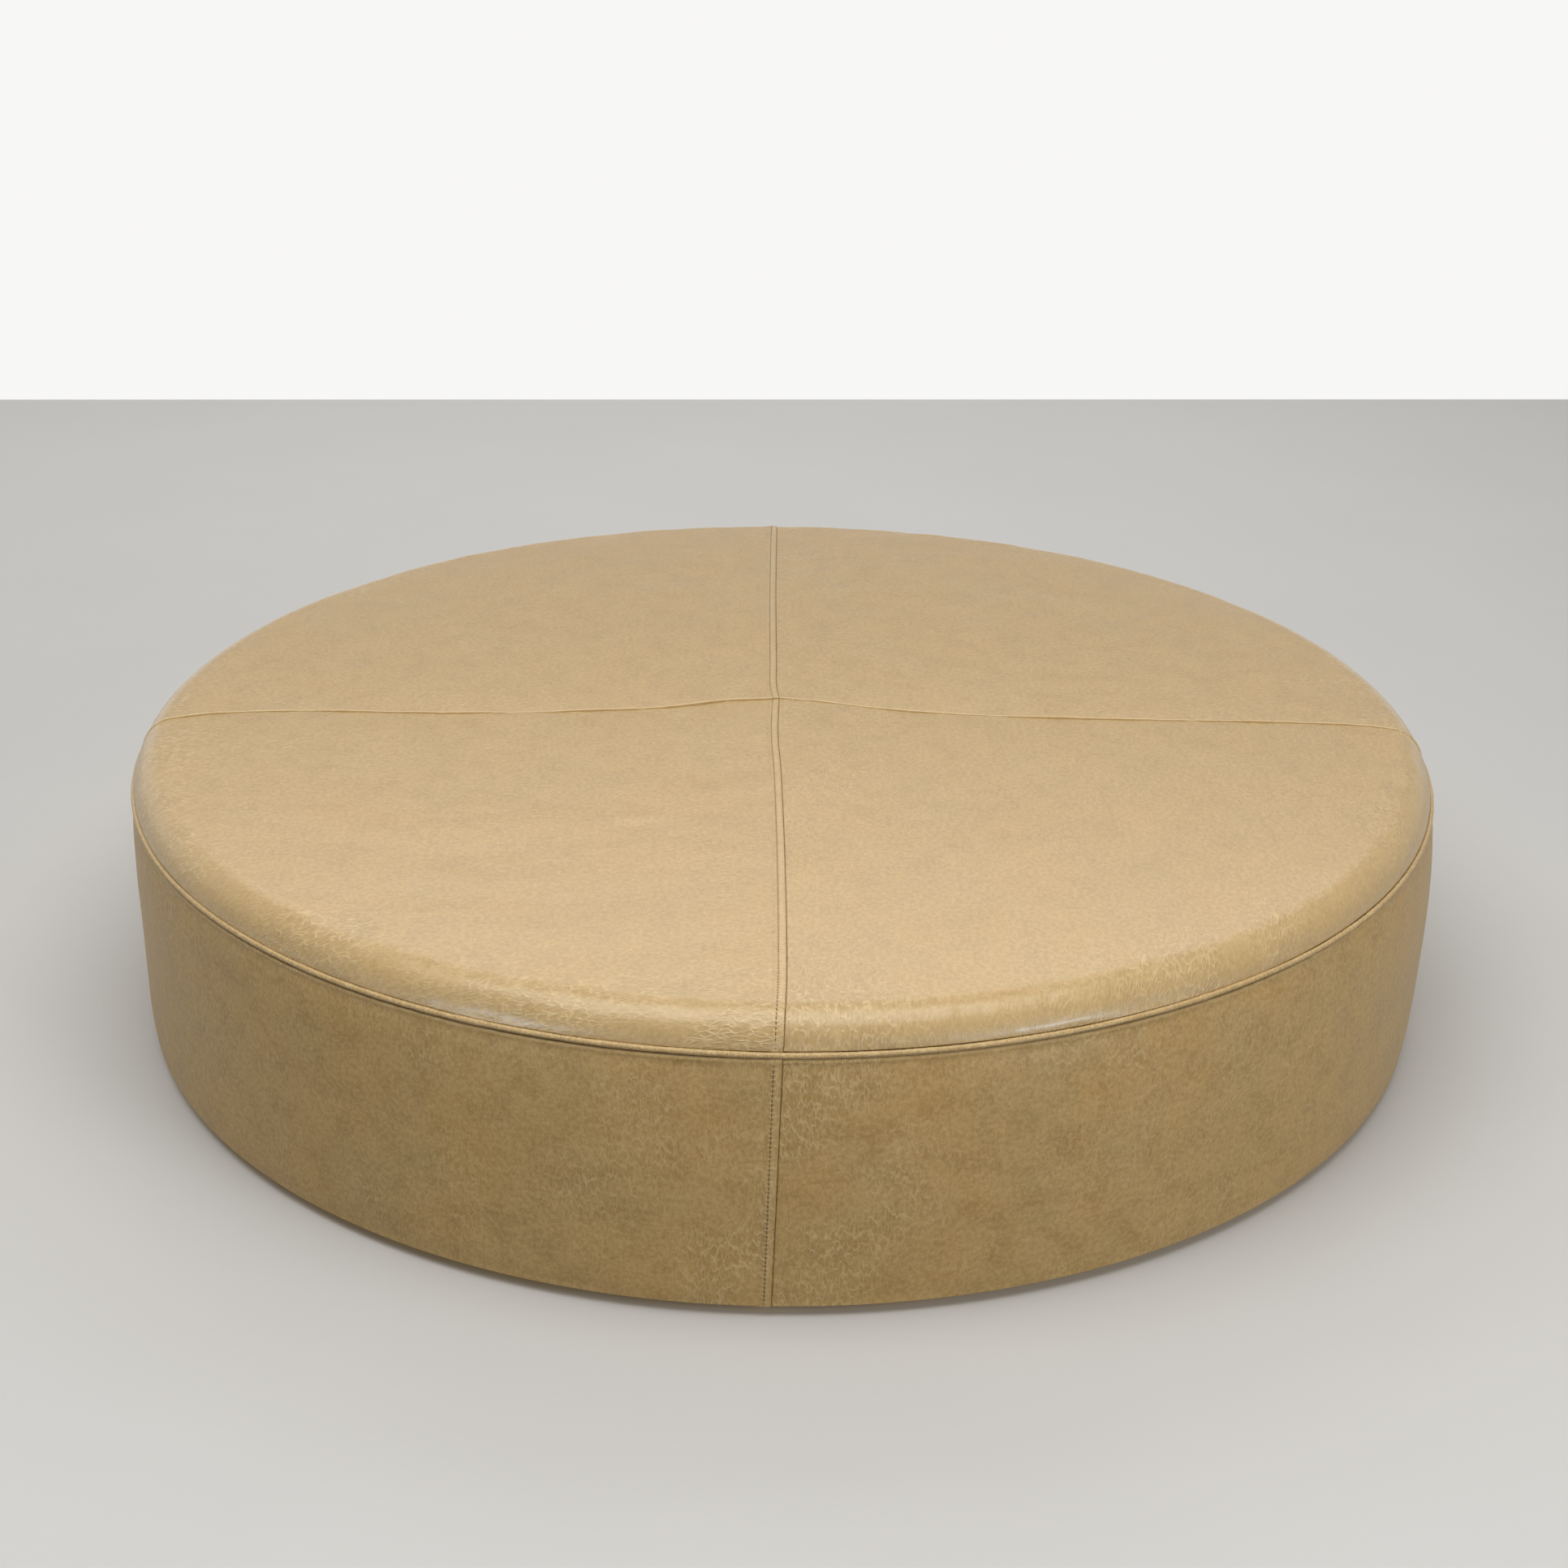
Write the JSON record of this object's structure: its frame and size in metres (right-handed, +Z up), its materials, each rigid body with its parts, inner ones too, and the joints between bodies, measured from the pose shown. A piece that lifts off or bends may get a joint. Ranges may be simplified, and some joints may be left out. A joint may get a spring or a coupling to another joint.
{
  "type": "round cocktail ottoman",
  "caption": "Large low round ottoman with a quartered, welted tan leather cover over foam and a plywood drum, standing on levelling glides hidden under its base.",
  "frame": {"origin": "middle of the footprint, on the floor under the glides", "axes": "+Z up; -Y is the front, where the side's seam is; +X to the right as seen from the front"},
  "size_m": [1.529, 1.529, 0.35],
  "materials": {
    "top_leather": "satin",
    "side_leather": "satin",
    "welt_leather": "satin",
    "cord_and_thread": "matte",
    "batting": "matte",
    "foam": "matte",
    "plywood": "matte",
    "softwood": "matte",
    "cambric": "matte",
    "staple_wire": "satin",
    "zinc_steel": "satin",
    "foot_plastic": "matte"
  },
  "bodies": {
    "root": {"top_panel_back_right": "top_leather", "top_panel_back_left": "top_leather", "top_panel_front_left": "top_leather", "top_panel_front_right": "top_leather", "side_panel_back_right": "side_leather", "side_panel_back_left": "side_leather", "side_panel_front_left": "side_leather", "side_panel_front_right": "side_leather", "welt_cover": "welt_leather", "welt_cord": "cord_and_thread", "top_batting": "batting", "side_batting": "batting", "top_foam": "foam", "side_foam": "foam", "deck_left": "plywood", "deck_right": "plywood", "skin_front": "plywood", "skin_back": "plywood", "base_back": "plywood", "base_left": "plywood", "base_front": "plywood", "base_right": "plywood", "deck_splice": "plywood", "rail_x": "plywood", "rail_y": "plywood", "post_1": "softwood", "post_2": "softwood", "post_3": "softwood", "post_4": "softwood", "post_5": "softwood", "post_6": "softwood", "post_7": "softwood", "post_8": "softwood", "dust_cover": "cambric", "cover_staples": "staple_wire", "dust_cover_staples": "staple_wire", "skin_staples": "staple_wire", "deck_screws": "zinc_steel", "base_screws": "zinc_steel", "tee_nuts": "zinc_steel"},
    "glide_1": {"glide_pad_1": "foot_plastic", "glide_stem_1": "zinc_steel"},
    "glide_2": {"glide_pad_2": "foot_plastic", "glide_stem_2": "zinc_steel"},
    "glide_3": {"glide_pad_3": "foot_plastic", "glide_stem_3": "zinc_steel"},
    "glide_4": {"glide_pad_4": "foot_plastic", "glide_stem_4": "zinc_steel"},
    "glide_5": {"glide_pad_5": "foot_plastic", "glide_stem_5": "zinc_steel"},
    "glide_6": {"glide_pad_6": "foot_plastic", "glide_stem_6": "zinc_steel"},
    "glide_7": {"glide_pad_7": "foot_plastic", "glide_stem_7": "zinc_steel"},
    "glide_8": {"glide_pad_8": "foot_plastic", "glide_stem_8": "zinc_steel"}
  },
  "joints": [
    {"name": "glide_1_level", "type": "slide", "parent": "root", "child": "glide_1", "axis": [0, 0, -1], "range_m": [0, 0.015]},
    {"name": "glide_2_level", "type": "slide", "parent": "root", "child": "glide_2", "axis": [0, 0, -1], "range_m": [0, 0.015]},
    {"name": "glide_3_level", "type": "slide", "parent": "root", "child": "glide_3", "axis": [0, 0, -1], "range_m": [0, 0.015]},
    {"name": "glide_4_level", "type": "slide", "parent": "root", "child": "glide_4", "axis": [0, 0, -1], "range_m": [0, 0.015]},
    {"name": "glide_5_level", "type": "slide", "parent": "root", "child": "glide_5", "axis": [0, 0, -1], "range_m": [0, 0.015]},
    {"name": "glide_6_level", "type": "slide", "parent": "root", "child": "glide_6", "axis": [0, 0, -1], "range_m": [0, 0.015]},
    {"name": "glide_7_level", "type": "slide", "parent": "root", "child": "glide_7", "axis": [0, 0, -1], "range_m": [0, 0.015]},
    {"name": "glide_8_level", "type": "slide", "parent": "root", "child": "glide_8", "axis": [0, 0, -1], "range_m": [0, 0.015]}
  ]
}
